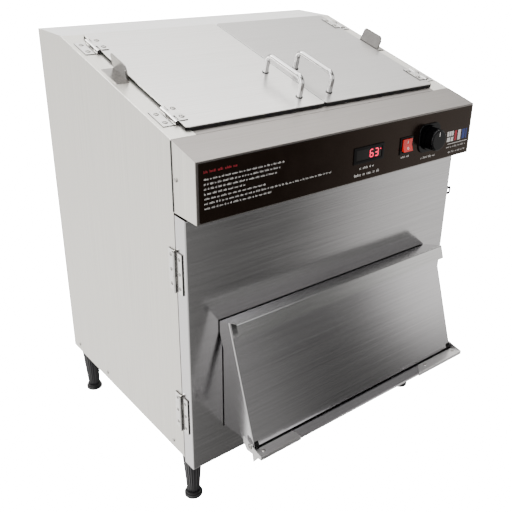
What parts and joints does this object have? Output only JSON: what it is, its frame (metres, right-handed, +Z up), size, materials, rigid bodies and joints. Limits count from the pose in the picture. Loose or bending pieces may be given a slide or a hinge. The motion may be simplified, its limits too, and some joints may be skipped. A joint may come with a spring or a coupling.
{
  "type": "food holding cabinet",
  "caption": "Heated holding cabinet for crisps: sloping top with two outward-opening lids, side-hinged front door with a tilt-out chute panel, control box and ribbed legs",
  "frame": {"origin": "centre of the bounding box's footprint, on the floor", "axes": "+X to the cabinet's right seen from the front, +Y to its rear, +Z up; the door is on the -Y side"},
  "size_m": [0.6316, 0.6248, 0.7827],
  "materials": {
    "brushed_sheet": "number 4 brushed stainless steel sheet, satin",
    "door_sheet": "number 4 brushed stainless steel sheet, grain across",
    "hinge_steel": "tumbled stainless hinge leaves and brackets",
    "handle_steel": "polished stainless tube",
    "liner_steel": "plain stainless inner sheet",
    "galvanised": "galvanised steel inner frame",
    "label_film": "satin printed polycarbonate film",
    "black_plastic": "black moulded plastic",
    "gloss_black": "glossy black moulded plastic",
    "smoked_window": "smoked red display window",
    "red_rocker": "translucent red rocker",
    "circuit_board": "green circuit board",
    "silicone": "silicone door seal",
    "mineral_wool": "mineral wool slabs",
    "element_sheath": "heat-darkened steel sheath",
    "foot_rubber": "hard rubber foot"
  },
  "bodies": {
    "cabinet": {"side_panel_left": "brushed_sheet", "side_panel_right": "brushed_sheet", "rear_panel": "brushed_sheet", "rear_service_cover": "brushed_sheet", "base_pan": "galvanised", "front_frame": "galvanised", "top_front_strip": "brushed_sheet", "top_rear_strip": "brushed_sheet", "centre_rail": "liner_steel", "hopper_wall_left": "liner_steel", "hopper_wall_right": "liner_steel", "hopper_rear_wall": "liner_steel", "hopper_ramp": "liner_steel", "insulation_slabs": "mineral_wool", "magnetic_catch": "black_plastic", "cabinet_screws": "hinge_steel", "cord_gland": "black_plastic", "legs": "black_plastic", "lid_hinge_fixed_leaves": "hinge_steel", "lid_hinge_pins": "hinge_steel", "lid_stops": "hinge_steel", "door_hinge_body_leaves": "hinge_steel", "door_hinge_pins": "hinge_steel", "control_box_shell": "brushed_sheet", "control_overlay": "label_film", "display_bezel": "black_plastic", "display_window": "smoked_window", "display_board": "circuit_board", "switch_housing": "black_plastic", "thermostat_dial_plate": "black_plastic", "thermostat_body": "galvanised", "fan_frame": "black_plastic", "heater_element": "element_sheath", "heater_brackets": "galvanised", "terminal_block": "black_plastic"},
    "left_lid": {"lid_panel_left": "brushed_sheet", "lid_handle_left": "handle_steel", "lid_hinge_leaves_left": "hinge_steel"},
    "right_lid": {"lid_panel_right": "brushed_sheet", "lid_handle_right": "handle_steel", "lid_hinge_leaves_right": "hinge_steel"},
    "door": {"door_outer_skin": "door_sheet", "door_inner_liner": "liner_steel", "door_gasket": "silicone", "door_pull_tab": "black_plastic", "catch_plate": "hinge_steel", "chute_cheeks": "door_sheet", "chute_floor": "door_sheet", "chute_brackets": "door_sheet", "door_hinge_door_leaves": "hinge_steel"},
    "tilt_panel": {"access_panel": "door_sheet", "access_panel_pull": "door_sheet"},
    "rocker": {"power_rocker": "red_rocker"},
    "knob": {"thermostat_knob": "gloss_black"},
    "rotor": {"fan_rotor": "black_plastic"},
    "foot_1": {"foot_front_left": "foot_rubber"},
    "foot_2": {"foot_front_right": "foot_rubber"},
    "foot_3": {"foot_rear_left": "foot_rubber"},
    "foot_4": {"foot_rear_right": "foot_rubber"}
  },
  "joints": [
    {"name": "left_lid_hinge", "type": "hinge", "parent": "cabinet", "child": "left_lid", "pos_m": [-0.2782, 0.01355, 0.73766], "axis": [0, -0.9678, -0.2516], "range_deg": [0, 105]},
    {"name": "right_lid_hinge", "type": "hinge", "parent": "cabinet", "child": "right_lid", "pos_m": [0.2698, 0.01355, 0.73766], "axis": [0, 0.9678, 0.2516], "range_deg": [0, 105]},
    {"name": "door_hinge", "type": "hinge", "parent": "cabinet", "child": "door", "pos_m": [-0.3126, -0.16075, 0.342], "axis": [0, 0, -1], "range_deg": [0, 120]},
    {"name": "access_panel_hinge", "type": "hinge", "parent": "door", "child": "tilt_panel", "pos_m": [-0.0042, -0.28215, 0.1922], "axis": [1, 0, 0], "range_deg": [0, 95]},
    {"name": "power_rocker_pivot", "type": "hinge", "parent": "cabinet", "child": "rocker", "pos_m": [0.1206, -0.21765, 0.622], "axis": [1, 0, 0], "range_deg": [0, 14]},
    {"name": "thermostat_turn", "type": "hinge", "parent": "cabinet", "child": "knob", "pos_m": [0.1803, -0.23465, 0.6265], "axis": [0, 1, 0], "range_deg": [0, 270]},
    {"name": "fan_spin", "type": "hinge", "parent": "cabinet", "child": "rotor", "pos_m": [-0.0042, 0.18935, 0.184], "axis": [0, 1, 0], "continuous": true},
    {"name": "foot_screw_front_left", "type": "slide", "parent": "cabinet", "child": "foot_1", "axis": [0, 0, -1], "range_m": [0, 0.015]},
    {"name": "foot_screw_front_right", "type": "slide", "parent": "cabinet", "child": "foot_2", "axis": [0, 0, -1], "range_m": [0, 0.015]},
    {"name": "foot_screw_rear_left", "type": "slide", "parent": "cabinet", "child": "foot_3", "axis": [0, 0, -1], "range_m": [0, 0.015]},
    {"name": "foot_screw_rear_right", "type": "slide", "parent": "cabinet", "child": "foot_4", "axis": [0, 0, -1], "range_m": [0, 0.015]}
  ]
}
